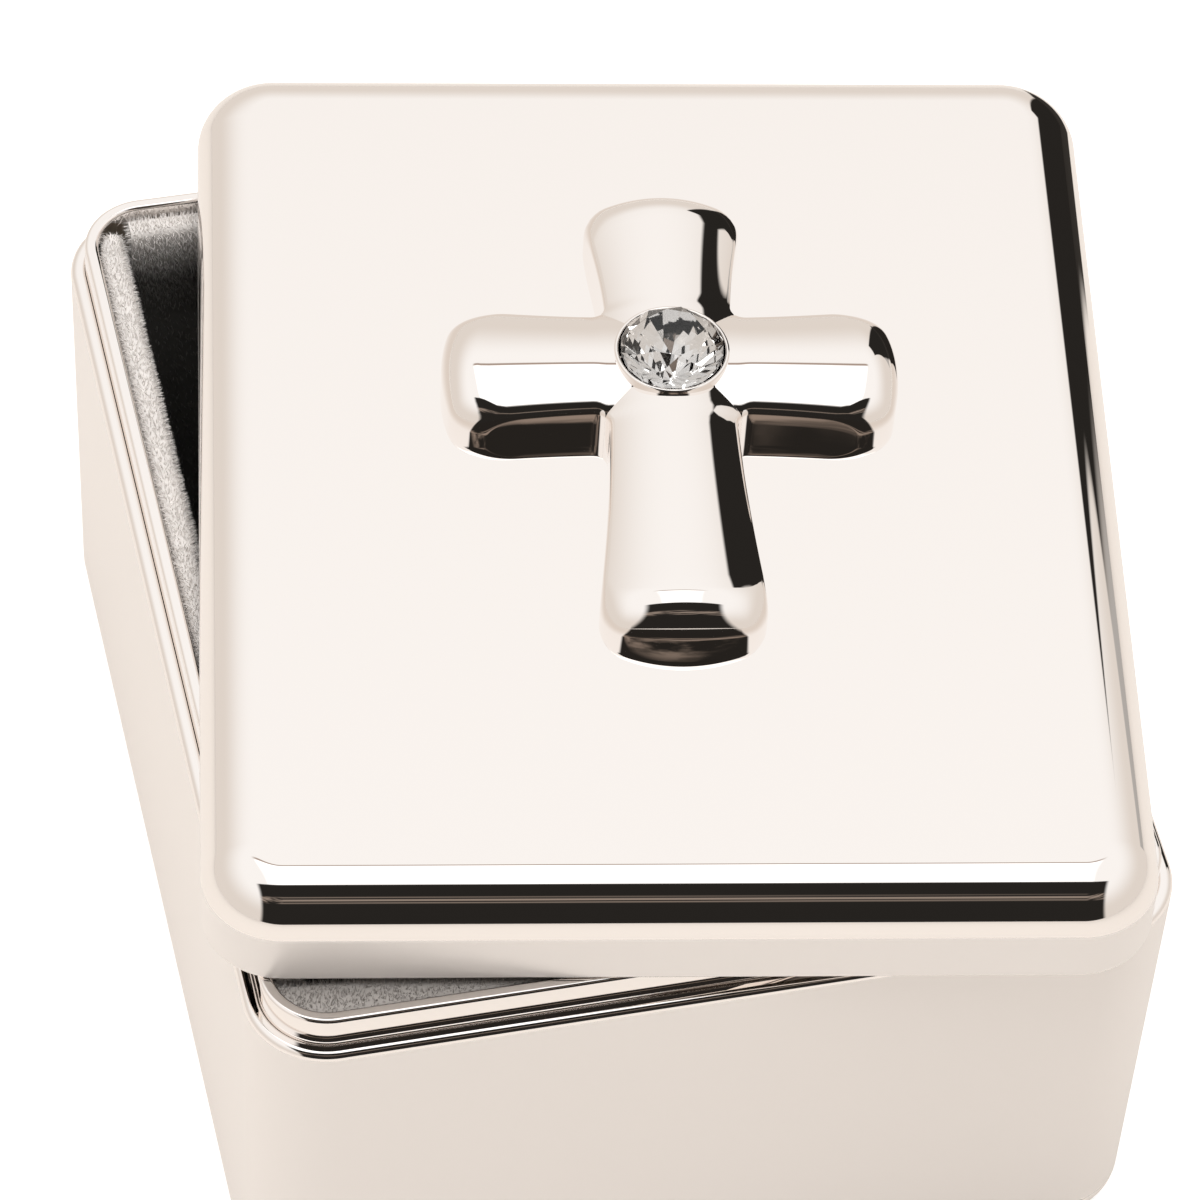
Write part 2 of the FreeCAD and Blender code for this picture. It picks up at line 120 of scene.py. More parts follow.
# The clutter in the dark front: how its pattern is stretched, and where it starts and ends to show
CLUTTER_STRETCH = (0.5, 1.0, 5.0)
CLUTTER_SHOWS = (0.4, 0.62)


def length(label, meaning, millimetres):
    """A size property that is shown in the scene's units."""
    return bpy.props.FloatProperty(name=label, description=meaning, default=millimetres * MM, unit="LENGTH",
                                   precision=5)


def angle(label, meaning, degrees):
    """An angle property."""
    return bpy.props.FloatProperty(name=label, description=meaning, default=math.radians(degrees),
                                   subtype="ANGLE")


def amount(label, meaning, default):
    """A plain number property."""
    return bpy.props.FloatProperty(name=label, description=meaning, default=default, precision=4)


def colour(label, meaning, default, most=1):
    """A colour property; a light may be brighter than 1."""
    return bpy.props.FloatVectorProperty(name=label, description=meaning, default=default, size=3,
                                         subtype="COLOR", min=0, max=most)


def spot(label, meaning, *millimetres):
    """A place property."""
    return bpy.props.FloatVectorProperty(name=label, description=meaning, size=3, subtype="TRANSLATION",
                                         default=[part * MM for part in millimetres], unit="LENGTH")


class TubSizes(bpy.types.PropertyGroup):
    """The tub and the collar in its mouth."""
    half_width: length("Half width", "Middle to outer face, along X", 26.15)
    half_depth: length("Half depth", "Middle to outer face, along Y", 31.65)
    height: length("Height", "Underside to ledge", 29.0)
    taper: length("Taper", "How far a wall draws in at the foot", 0.5)
    corner: length("Corner", "Plan radius of the upright corners", 4.6)
    foot_round: length("Foot rounding", "Rounding between wall and underside", 3.0)
    shoulder: length("Shoulder", "Rounding at the outer edge of the ledge", 0.45)
    floor: length("Floor", "Thickness of the tub's floor", 1.6)
    ledge: length("Ledge", "Outer face to collar", 0.85)
    seam: length("Seam", "Rounding of the ledge beside the collar", 0.18)
    collar_wall: length("Collar wall", "Thickness of the collar", 0.8)
    collar_height: length("Collar height", "Whole height of the collar", 8.0)
    collar_rise: length("Collar rise", "Ledge to the collar's top", 2.0)
    collar_round: length("Collar rounding", "Rounding of the collar's edges", 0.25)
    mouth_corner: length("Mouth corner", "Plan radius inside the collar's corners", 2.95)


class LidSizes(bpy.types.PropertyGroup):
    """The cap lid, in its own frame, and how it lies on the collar."""
    half_width: length("Half width", "Middle to skirt, along the lid's X", 26.0)
    half_depth: length("Half depth", "Middle to skirt, along the lid's Y", 31.5)
    height: length("Height", "Skirt edge to flat top", 6.4)
    wall: length("Wall", "Thickness of the skirt", 0.6)
    top: length("Top", "Thickness of the flat top", 0.6)
    corner: length("Corner", "Plan radius of the corners", 4.45)
    edge_round: length("Edge rounding", "Rounding between the flat top and the skirt", 3.15)
    hem_round: length("Hem rounding", "Rounding of the skirt's lower edge", 0.2)
    place: spot("Place", "Where the lid's frame lies", 2.82, -0.41, 31.0)
    turn: angle("Turn", "How far the lid is turned about Z", -10.34)


class CrossSizes(bpy.types.PropertyGroup):
    """The raised cross and the bezel round its stone, from the point where the arms cross."""
    place_x: length("Place X", "Lid's middle to crossing, along the lid's X", 0.7)
    place_y: length("Place Y", "Lid's middle to crossing, along the lid's Y", 5.65)
    height: length("Height", "Height of the arms' ridges", 3.05)
    arm_up: length("Upper arm", "Crossing to the end of the upper arm", 13.1)
    arm_down: length("Lower arm", "Crossing to the end of the lower arm", 19.5)
    arm_side: length("Side arms", "Crossing to the end of each side arm", 13.0)
    waist: length("Waist", "Half width of the arms where they meet", 3.6)
    upright_end: length("Upright ends", "Half width of the upper and lower arms at their ends", 5.0)
    side_end: length("Side ends", "Half width of the side arms at their ends", 4.45)
    bulge: length("Bulge", "How far each arm's end bulges", 0.9)
    end_corner: length("End corners", "Plan radius at the corners of the ends", 1.7)
    end_round: length("End rounding", "How far back each end starts to round over", 2.1)
    end_foot: amount("End foot", "Share of each end's height that stands upright", 0.3)
    inner_corner: length("Inner corners", "Plan radius where two arms meet", 0.9)
    flare_power: amount("Flare power", "How late along the arm the sides flare", 1.6)
    crown_slope: angle("Crown slope", "Slope where an arm's crown runs into its side", 30.0)
    crown_share: amount("Crown share", "Share of an arm's half width that is crown", 0.93)
    bezel_radius: length("Bezel radius", "Stone's middle to the middle of the wall", 3.15)
    bezel_half: length("Bezel half wall", "Half thickness of the bezel", 0.12)
    bezel_top: length("Bezel top", "Top of the bezel above the lid", 3.3)
    seat_floor: length("Seat floor", "Metal left below the stone", 1.05)


class StoneSizes(bpy.types.PropertyGroup):
    """The cut stone, from the point where its girdle's upper edge crosses its axis."""
    girdle_radius: length("Girdle radius", "Radius at the girdle", 2.95)
    table_radius: length("Table radius", "Middle to the corners of the table", 1.8)
    star_radius: length("Star radius", "Middle to the points of the star facets", 2.45)
    crown: length("Crown", "Girdle to table", 1.2)
    girdle: length("Girdle", "Thickness of the girdle", 0.3)
    pavilion: length("Pavilion", "Girdle to the point below", 2.1)
    half_radius: length("Half facets", "Middle to the inner points of the lower half facets", 0.8)
    turn: angle("Turn", "How far the stone is turned in its bezel", 9.0)


class LiningSizes(bpy.types.PropertyGroup):
    """The velvet over the stiff cards."""
    pile: length("Pile", "Length of the velvet's fibres", 0.4)
    fibre: length("Fibre", "Radius of a fibre at its root", 0.035)
    lean: angle("Lean", "How far a fibre leans at most", math.degrees(0.45))
    rim_density: amount("Rim density", "Fibres on a square millimetre near the rim", 55.0)
    deep_density: amount("Deep density", "Fibres on a square millimetre further down", 9.0)
    rim_depth: length("Rim depth", "How far down the dense pile goes", 7.0)
    edge_round: length("Edge rounding", "Rounding of a wall pad's edge", 0.5)
    flat_edge: length("Flat edge", "Rounding of the floor's and the lid's pads", 0.3)
    unevenness: length("Unevenness", "How far the cloth's surface wanders", 0.05)
    still_foot: length("Still foot", "Height of a pad's foot that doesn't wander", 0.5)
    gap: length("Gap", "Play round the lining", 0.15)
    back_gap: length("Back gap", "Room behind the velvet on a card's top edge", 0.02)
    end_gap: length("End gap", "Room at each end of the front pad", 0.05)
    side_reach: length("Side reach", "Side pads past their cards, at the back", 0.9)
    card_cover: length("Card cover", "Velvet above the card's top edge", 1.2)
    top: length("Top", "Tub's underside to the wall lining's top", 30.8)
    # The next two paint shade: below the rim the pile turns darker with depth, standing for the shade inside
    # the box.
    painted_shade_from: length("Fade from", "How far down the pile starts to turn dark", 0.5)
    fade: length("Fade", "How far down the pile is all dark", 5.0)
    # Painted shade on the front pad, standing for the lid's shade over it: at 0 its pile is all root colour,
    # at 1 it is as lit as the other pads.
    front_painted_light: amount("Front nap", "Light on the front pad's pile, against the others", 0.0)


class FinishColours(bpy.types.PropertyGroup):
    """Colours of the finishes."""
    plate: colour("Plate", "Polished silver plate", (0.955, 0.915, 0.885))
    velvet: colour("Velvet", "Pile seen from its tips", (0.78, 0.748, 0.722))
    # The root colour is also the front pad's painted shade.
    velvet_root: colour("Velvet root", "Pile seen between its fibres", (0.36, 0.335, 0.315))
    # Painted shade: the colour the pile turns to deep in the box, for the shade inside it.
    velvet_painted_shade: colour("Velvet depth", "Pile deep in the box", (0.1, 0.095, 0.085))
    card: colour("Card", "Stiff card", (0.42, 0.36, 0.29))
    foil: colour("Foil", "Mirror foil behind the stone", (0.78, 0.77, 0.76))


class StudioSizes(bpy.types.PropertyGroup):
    """Camera, floor and the soft studio round the box."""
    aim: spot("Aim", "Point at the middle of the picture", -1.34, -4.51, 31.0)
    azimuth: angle("Azimuth", "Where the camera stands round the box", -15.77)
    elevation: angle("Elevation", "Camera above the horizon", 49.91)
    roll: angle("Roll", "How far the camera leans", -4.07)
    distance: length("Distance", "Camera to the point it aims at", 386.56)
    lens: amount("Lens", "Focal length in millimetres on a 36 mm sensor", 204.96)
    floor_half: length("Floor half size", "Half the side of the floor sheet", 600.0)
    floor_drop: length("Floor drop", "Box to floor sheet", 0.05)
    floor_colour: colour("Floor", "The pale sheet below the box", (0.5, 0.472, 0.444))
    floor_glow: amount("Floor glow", "Strength of the floor's own light", 0.6)
    floor_wash: amount("Floor wash", "How much stronger the camera sees that light", 0.2)
    wall_low: colour("Low wall", "Pale walls near the level", (0.77, 0.71, 0.655))
    wall_high: colour("High wall", "Pale walls and ceiling further up", (1.0, 0.985, 0.972))
    dark: colour("Dark", "The dark front and the flag", (0.02, 0.018, 0.016))
    streak: colour("Streak", "Things in the dark front", (0.3, 0.24, 0.2))
    panel: colour("Panel", "The light panel", (1.4, 1.4, 1.4), most=4)
    panel_edge: colour("Panel edge", "The frame of the light panel", (0.4, 0.31, 0.26))
    flag_reach: length("Flag reach", "How far away the flag stands", 121.0)
    flag_side: colour("Flag side", "What stands beside the flag", (0.45, 0.43, 0.41))
    lamp_size: length("Lamp size", "Side of the lamp", 350.0)
    lamp_power: amount("Lamp power", "Power of the lamp in watts", 1.7)
    lamp_place: spot("Lamp place", "Where the lamp hangs", -50.0, -70.0, 500.0)


class KeepsakeSettings(bpy.types.PropertyGroup):
    """Everything that a user would change."""
    tub: bpy.props.PointerProperty(type=TubSizes)
    lid: bpy.props.PointerProperty(type=LidSizes)
    cross: bpy.props.PointerProperty(type=CrossSizes)
    stone: bpy.props.PointerProperty(type=StoneSizes)
    lining: bpy.props.PointerProperty(type=LiningSizes)
    colours: bpy.props.PointerProperty(type=FinishColours)
    studio: bpy.props.PointerProperty(type=StudioSizes)


def lid_place(settings):
    """The lid's own frame, as it lies on the collar."""
    return Matrix.Translation(settings.lid.place) @ Matrix.Rotation(settings.lid.turn, 4, "Z")


def cross_place(settings):
    """The frame of the cross: its crossing point on the lid's flat top."""
    cross = settings.cross
    return lid_place(settings) @ Matrix.Translation((cross.place_x, cross.place_y, settings.lid.height))


# Meshes

def new_object(name, data):
    """Links a new object to the scene."""
    made = bpy.data.objects.new(name, data)
    bpy.context.scene.collection.objects.link(made)
    return made


def new_piece(name, mesh, body, slot, node, *materials):
    """Links a mesh as a piece that rides on a body, takes the given materials and stands for a node; the slot
    is not used.
    """
    for material in materials:
        mesh.materials.append(material)
    piece = new_object(name, mesh)
    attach(piece, body)
    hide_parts(node)
    return piece


def shape_mesh(name, shape, place=Matrix.Identity(4), crease=None):
    """Turns a shape into a mesh that faces out; with a crease it is smooth up to that angle."""
    bmesh.ops.recalc_face_normals(shape, faces=shape.faces)
    shape.transform(place)
    mesh = bpy.data.meshes.new(name)
    shape.to_mesh(mesh)
    shape.free()
    if crease:
        mesh.shade_smooth()
        mesh.set_sharp_from_angle(angle=crease)
    return mesh


def give(mesh, name, values):
    """Stores a number for each of a mesh's points."""
    mesh.attributes.new(name, "FLOAT", "POINT").data.foreach_set("value", values)


def arc(centre, radius, first, last, steps, hollow=False):
    """Profile points along an arc, each with the way its surface faces; angles are in degrees."""
    points = []
    for step in range(steps + 1):
        turn = math.radians(first + (last - first) * step / steps)
        out, up = math.cos(turn), math.sin(turn)
        facing = (-out, -up) if hollow else (out, up)
        points.append((centre[0] + radius * out, centre[1] + radius * up, *facing))
    return points


def loft(name, half_x, half_y, corner, profile, place=Matrix.Identity(4), closed=False, satin=False):
    """A mesh whose rings are rounded rectangles that follow a profile.

    Each profile point is how far it lies out from the given outline, its height, and the way it faces.
    The profile runs up the outside; both of its ends are capped unless it is closed. With satin, upright
    walls that face out are marked for a softer polish.
    """
    plan = []
    for quarter, (side_x, side_y) in enumerate(((1, 1), (-1, 1), (-1, -1), (1, -1))):
        for step in range(CORNER_STEPS + 1):
            turn = math.radians(90 * (quarter + step / CORNER_STEPS))
            centre = (side_x * (half_x - corner), side_y * (half_y - corner))
            plan.append((*centre, math.cos(turn), math.sin(turn)))
    turned = place.to_3x3()
    points = []
    normals = []
    for out, up, face_out, face_up in profile:
        for x, y, plan_x, plan_y in plan:
            reach = corner + out
            points.append(place @ Vector((x + reach * plan_x, y + reach * plan_y, up)))
            normals.append(turned @ Vector((face_out * plan_x, face_out * plan_y, face_up)))
    count = len(plan)
    rows = len(profile)
    faces = []
    for row in range(rows if closed else rows - 1):
        low, high = row * count, (row + 1) % rows * count
        for column in range(count):
            following = (column + 1) % count
            faces.append((low + column, low + following, high + following, high + column))
    if not closed:
        faces.append(tuple(reversed(range(count))))
        faces.append(tuple(range((rows - 1) * count, rows * count)))
    mesh = bpy.data.meshes.new(name)
    mesh.from_pydata(points, [], faces)
    mesh.shade_smooth()
    mesh.normals_split_custom_set_from_vertices(normals)
    if satin:
        give(mesh, "satin", [float(face_out > SATIN_FACING) for _, _, face_out, _ in profile for _ in plan])
    return mesh


def tub_mesh(tub):
    """The tub draws in towards its foot; the profile is measured from the ledge's outline."""
    lean = math.atan2(-tub.taper, tub.height)
    upright = math.degrees(lean)
    step = tub.height + tub.collar_rise - tub.collar_height
    mouth = -tub.ledge - tub.collar_wall
    seam = tub.seam

    def wall_centre(radius, height):
        """Centre of a rounding that touches the leaning wall from inside."""
        return (-tub.taper - (radius + height * math.sin(lean)) / math.cos(lean), height)

    profile = arc(wall_centre(tub.foot_round, tub.foot_round), tub.foot_round, -90, upright, steps=20)
    profile += arc(wall_centre(tub.shoulder, tub.height - tub.shoulder), tub.shoulder, upright, 90, steps=16)
    profile += arc((-tub.ledge + seam, tub.height - seam), seam, 90, 180, steps=6)
    profile += arc((-tub.ledge - seam, step + seam), seam, 0, -90, steps=4, hollow=True)
    profile += arc((mouth + seam, step - seam), seam, 90, 180, steps=4)
    profile += arc((mouth - seam, tub.floor + seam), seam, 0, -90, steps=4, hollow=True)
    return loft("tub", tub.half_width, tub.half_depth, tub.corner, profile, satin=True)


def collar_mesh(tub):
    """The ring in the tub's mouth, with small roundings at its four edges."""
    top = tub.height + tub.collar_rise
    foot = top - tub.collar_height
    edge = tub.collar_round
    outer, inner = -edge, edge - tub.collar_wall
    profile = arc((outer, foot + edge), edge, -90, 0, steps=5)
    profile += arc((outer, top - edge), edge, 0, 90, steps=8)
    profile += arc((inner, top - edge), edge, 90, 180, steps=8)
    profile += arc((inner, foot + edge), edge, 180, 270, steps=5)
    half_x, half_y = tub.half_width - tub.ledge, tub.half_depth - tub.ledge
    return loft("collar", half_x, half_y, tub.corner - tub.ledge, profile, closed=True)


def lid_mesh(lid, place):
    """The cap: ceiling, inner wall, hem, skirt and the large rounding up to the flat top."""
    inner_round = lid.edge_round - lid.wall
    inner_centre = (-lid.edge_round, lid.height - lid.top - inner_round)
    hem = lid.hem_round
    profile = arc(inner_centre, inner_round, 90, 0, steps=14, hollow=True)
    profile += arc((hem - lid.wall, hem), hem, 180, 270, steps=6)
    profile += arc((-hem, hem), hem, -90, 0, steps=6)
    profile += arc((-lid.edge_round, lid.height - lid.edge_round), lid.edge_round, 0, 90, steps=36)
    return loft("lid", lid.half_width, lid.half_depth, lid.corner, profile, place, satin=True)


def arm_section(cross, half):
    """Half of an arm's section, from foot to ridge, as (across, height): a round side and a shallow crown."""
    slope, crown = cross.crown_slope, cross.crown_share * half
    crown_radius = crown / math.sin(slope)
    side_radius = (half - crown) / (1 - math.sin(slope))
    side_height = cross.height - crown_radius * (1 - math.cos(slope)) - side_radius * math.cos(slope)
    points = [(half, 0.0), (half, side_height / 2)]
    for step in range(ARM_SIDE_STEPS + 1):
        tilt = math.pi / 2 + (slope - math.pi / 2) * step / ARM_SIDE_STEPS
        points.append((half - side_radius * (1 - math.sin(tilt)), side_height + side_radius * math.cos(tilt)))
    for step in range(1, ARM_CROWN_STEPS + 1):
        tilt = slope * (1 - step / ARM_CROWN_STEPS)
        points.append((crown_radius * math.sin(tilt), cross.height - crown_radius * (1 - math.cos(tilt))))
    return points


def add_arm(shape, cross, turn, arm_length, end_half):
    """Adds one arm to the cross; it starts at the stone's seat and at the valleys."""
    waist, valley, seat = cross.waist, cross.inner_corner, cross.bezel_radius
    corner_start = 1 - cross.end_corner / end_half

    def half_width(reach):
        """Half width at a distance from the crossing, with the round inner corner and the flare."""
        reach = max(reach, waist + valley * (1 - math.sqrt(0.5)))
        share = min(1.0, max(0.0, (reach - waist) / (arm_length - waist)))
        half = waist + (end_half - waist) * share ** cross.flare_power
        if reach < waist + valley:
            half += valley - math.sqrt(valley ** 2 - (waist + valley - reach) ** 2)
        return half

    def end_at(across):
        """How far out the arm's end lies, at a share of its half width."""
        end = arm_length - cross.bulge * across ** 2
        if abs(across) > corner_start:
            bend = min(1.0, (abs(across) - corner_start) / (1 - corner_start))
            end -= cross.end_corner * (1 - math.sqrt(1 - bend ** 2))
        return end

    place = Matrix.Rotation(turn, 3, "Z")
    half_columns = len(arm_section(cross, end_half)) - 1
    grid = []
    for column in range(-half_columns, half_columns + 1):
        number = half_columns - abs(column)
        sign = 1 if column > 0 else -1
        share = sign * arm_section(cross, half_width(arm_length))[number][0] / half_width(arm_length)
        start = half_width(0) * abs(share)
        if start < seat * math.sqrt(0.5):
            start = math.sqrt(seat ** 2 - start ** 2)
        end = end_at(share)
        turn_over = end - cross.end_round
        run = turn_over - start
        steps = [(start + run * (row / ARM_ROWS) ** ARM_ROW_POWER, 1.0) for row in range(ARM_ROWS)]
        for row in range(ARM_END_ROWS + 1):
            bend = math.radians(90 * row / ARM_END_ROWS)
            fall = cross.end_foot + (1 - cross.end_foot) * math.cos(bend)
            steps.append((turn_over + cross.end_round * math.sin(bend), fall))
        steps.append((end, 0.0))
        line = []
        for reach, fall in steps:
            across, height = arm_section(cross, half_width(reach))[number]
            line.append(shape.verts.new(place @ Vector((sign * across, reach, height * fall))))
        grid.append(line)
    for left, right in zip(grid, grid[1:]):
        for row in range(len(left) - 1):
            shape.faces.new((left[row], right[row], right[row + 1], left[row + 1]))


def cross_mesh(cross, place):
    """Four crowned arms on a flat underside, a well for the stone and a bezel round it."""
    shape = bmesh.new()
    arms = ((0, cross.arm_up, cross.upright_end), (90, cross.arm_side, cross.side_end),
            (180, cross.arm_down, cross.upright_end), (270, cross.arm_side, cross.side_end))
    for turn, arm_length, end_half in arms:
        add_arm(shape, cross, math.radians(turn), arm_length, end_half)
    bmesh.ops.remove_doubles(shape, verts=shape.verts, dist=WELD)
    open_edges = [edge for edge in shape.edges if edge.is_boundary]
    well = cross.bezel_radius + TOUCH
    rim = [edge for edge in open_edges
           if all(point.co.xy.length < well and point.co.z > TOUCH for point in edge.verts)]
    ground = [edge for edge in open_edges if edge not in rim]
    bmesh.ops.holes_fill(shape, edges=ground, sides=0)
    made = bmesh.ops.extrude_edge_only(shape, edges=rim)["geom"]
    for item in made:
        if isinstance(item, bmesh.types.BMVert):
            item.co.z = cross.seat_floor
    lowered = [item for item in made if isinstance(item, bmesh.types.BMEdge)]
    bmesh.ops.holes_fill(shape, edges=lowered, sides=0)
    add_bezel(shape, cross)
    return shape_mesh("cross", shape, place, CROSS_CREASE)


def add_bezel(shape, cross):
    """Adds the round wall that holds the stone, as a closed ring."""
    half = cross.bezel_half
    profile = [(cross.bezel_radius - half, cross.seat_floor), (cross.bezel_radius + half, cross.seat_floor)]
    top = arc((cross.bezel_radius, cross.bezel_top - half), half, 0, 180, steps=12)
    profile += [(out, up) for out, up, _, _ in top]
    rings = []
    for side in range(BEZEL_SIDES):
        turn = 2 * math.pi * side / BEZEL_SIDES
        x, y = math.cos(turn), math.sin(turn)
        rings.append([shape.verts.new((out * x, out * y, up)) for out, up in profile])
    for side, ring in enumerate(rings):
        bridge(shape, ring, rings[(side + 1) % BEZEL_SIDES])


def bridge(shape, near, far):
    """Joins two closed rings of points with faces."""
    for point in range(len(near)):
        after = (point + 1) % len(near)
        shape.faces.new((near[point], far[point], far[after], near[after]))


def stone_mesh(stone, place):
    """A brilliant cut: table, stars, kites and halves above the girdle, mains and halves below."""
    shape = bmesh.new()
    points = 2 * FACETS

    def ring(radius, height, count, shift=0.0):
        turns = [2 * math.pi * (number + shift) / count for number in range(count)]
        return [shape.verts.new((radius * math.cos(turn), radius * math.sin(turn), height)) for turn in turns]

    half_turn = math.cos(math.pi / FACETS)
    slant = stone.girdle_radius - stone.table_radius
    star_height = stone.crown * (stone.girdle_radius - stone.star_radius * half_turn) / slant
    half_depth = stone.pavilion * (stone.girdle_radius - stone.half_radius * half_turn) / stone.girdle_radius
    table = ring(stone.table_radius, stone.crown, FACETS)
    stars = ring(stone.star_radius, star_height, FACETS, 0.5)
    upper = ring(stone.girdle_radius, 0, points)
    lower = ring(stone.girdle_radius, -stone.girdle, points)
    halves = ring(stone.half_radius, -stone.girdle - half_depth, FACETS, 0.5)
    tip = shape.verts.new((0, 0, -stone.girdle - stone.pavilion))
    shape.faces.new(table)
    for number in range(FACETS):
        after = (number + 1) % FACETS
        before = (number - 1) % FACETS
        around = (2 * number, 2 * number + 1, (2 * number + 2) % points)
        main, middle, following = (upper[point] for point in around)
        low, low_middle, low_following = (lower[point] for point in around)
        for clear in ((table[number], stars[number], table[after]),
                      (table[number], stars[before], main, stars[number]),
                      (stars[number], main, middle), (stars[number], middle, following),
                      (main, low, low_middle, middle), (middle, low_middle, low_following, following)):
            shape.faces.new(clear)
        for foiled in ((low, halves[before], tip, halves[number]), (low, halves[number], low_middle),
                       (low_middle, halves[number], low_following)):
            shape.faces.new(foiled).material_index = 1
    return shape_mesh("stone", shape, place)


# Materials

class Wiring:
    """Shorthand for the nodes of a tree; a value is an output, or what a socket can be set to."""

    def __init__(self, tree):
        self.tree = tree

    def fill(self, node, values):
        """Links or sets a node's inputs, which are given by their names or numbers."""
        for key, value in values.items():
            socket = node.inputs[key]
            if isinstance(value, bpy.types.NodeSocket):
                self.tree.links.new(value, socket)
            elif socket.type == "RGBA":
                socket.default_value = (*value, 1)
            else:
                socket.default_value = value

    def add(self, kind, values=None, **settings):
        """A new node with its settings and its inputs; gives its outputs."""
        node = self.tree.nodes.new(kind)
        for key, value in settings.items():
            setattr(node, key, value)
        self.fill(node, values or {})
        return node.outputs

    def math(self, operation, first, second=0.0):
        """One step of arithmetic."""
        return self.add("ShaderNodeMath", {0: first, 1: second}, operation=operation)["Value"]

    def both(self, first, second):
        """The product of two values."""
        return self.math("MULTIPLY", first, second)

    def rise(self, value, low, high):
        """A smooth rise from 0 to 1 while the value goes from low to high."""
        return self.add("ShaderNodeMapRange", {"Value": value, "From Min": low, "From Max": high},
                        interpolation_type="SMOOTHSTEP")["Result"]

    def spread(self, value, low, high):
        """Maps a pattern from 0 and 1 to two numbers."""
        return self.add("ShaderNodeMapRange", {"Value": value, "To Min": low, "To Max": high})["Result"]

    def band(self, value, low, high, soft):
        """1 between low and high, with soft edges, and 0 elsewhere."""
        above = self.rise(value, low - soft, low + soft)
        beyond = self.rise(value, high - soft, high + soft)
        return self.math("SUBTRACT", above, beyond)

    def mix(self, factor, first, second):
        """A colour between two colours."""
        return self.add("ShaderNodeMix", {"Factor": factor, "A": first, "B": second},
                        data_type="RGBA")["Result"]

    def place(self):
        """The piece's own coordinates."""
        return self.add("ShaderNodeTexCoord")["Object"]

    def noise(self, scale, detail, roughness=0.5):
        """A noise pattern on the piece's own coordinates."""
        return self.add("ShaderNodeTexNoise", {"Vector": self.place(), "Scale": scale, "Detail": detail,
                                               "Roughness": roughness})["Fac"]

    def attribute(self, name):
        """A number that the piece's mesh holds."""
        return self.add("ShaderNodeAttribute", attribute_name=name)["Fac"]


def polished_plate(wiring, colours):
    """Mirror-polished silver plate with faint polishing marks, and satin where its mesh says so."""
    satin = wiring.attribute("satin")
    haze = wiring.spread(wiring.noise(scale=900.0, detail=4.0), *PLATE_ROUGHNESS)
    wave = wiring.noise(scale=160.0, detail=1.0)
    bump = wiring.add("ShaderNodeBump", {"Strength": 0.04, "Distance": 0.02 * MM, "Height": wave})
    return {"Base Color": colours.plate,
            "Metallic": wiring.spread(satin, *SATIN_METALLIC),
            "Roughness": wiring.math("ADD", haze, wiring.spread(satin, *SATIN_ROUGHNESS)),
            "Normal": bump["Normal"]}


def velvet_pile(wiring, colours, lining):
    """Short pile: light at the fibres' tips and near the rim, darker between the fibres; painted shade
    darkens it further down in the box and on the front pad.
    """
    patches = wiring.spread(wiring.noise(scale=700.0, detail=3.0), *PILE_PATCHES)
    light = wiring.both(wiring.attribute("tone_and_painted_light"), patches)
    # Painted shade: below the rim the pile turns towards the painted shade colour with depth, for the shade
    # inside the box.
    height = wiring.add("ShaderNodeSeparateXYZ", {"Vector": wiring.place()})["Z"]
    raised = wiring.rise(height, lining.top - lining.fade, lining.top - lining.painted_shade_from)
    cloth = wiring.mix(light, colours.velvet_root, colours.velvet)
    return {"Base Color": wiring.mix(raised, colours.velvet_painted_shade, cloth), "Roughness": 1.0,
            "Specular IOR Level": 0.1, "Sheen Weight": 0.12, "Sheen Roughness": 0.5}


def stiff_card(wiring, colours):
    """Plain stiff card with faint fibres."""
    fibres = wiring.noise(scale=1800.0, detail=5.0, roughness=0.7)
    dim = [CARD_FIBRES * part for part in colours.card]
    return {"Base Color": wiring.mix(fibres, dim, colours.card), "Roughness": 0.9}


def cut_glass(wiring):
    """Clear cut glass with faint wear on its facets."""
    wear = wiring.spread(wiring.noise(scale=2500.0, detail=3.0), *GLASS_ROUGHNESS)
    return {"Base Color": WHITE, "Roughness": wear, "IOR": 1.56, "Transmission Weight": 1.0}


def stone_foil(wiring, colours):
    """The mirror foil on the stone's back, a little uneven."""
    grain = wiring.spread(wiring.noise(scale=1400.0, detail=3.0), *FOIL_ROUGHNESS)
    return {"Base Color": colours.foil, "Metallic": 1.0, "Roughness": grain}


def finish(kind, *arguments):
    """The one shared material of a kind; the kind is a function that gives its Principled shader's inputs."""
    material = bpy.data.materials.get(kind.__name__)
    if not material:
        material = bpy.data.materials.new(kind.__name__)
        material.use_nodes = True
        wiring = Wiring(material.node_tree)
        shader = next(node for node in wiring.tree.nodes if node.type == "BSDF_PRINCIPLED")
        wiring.fill(shader, kind(wiring, *arguments))
    return material


# Velvet

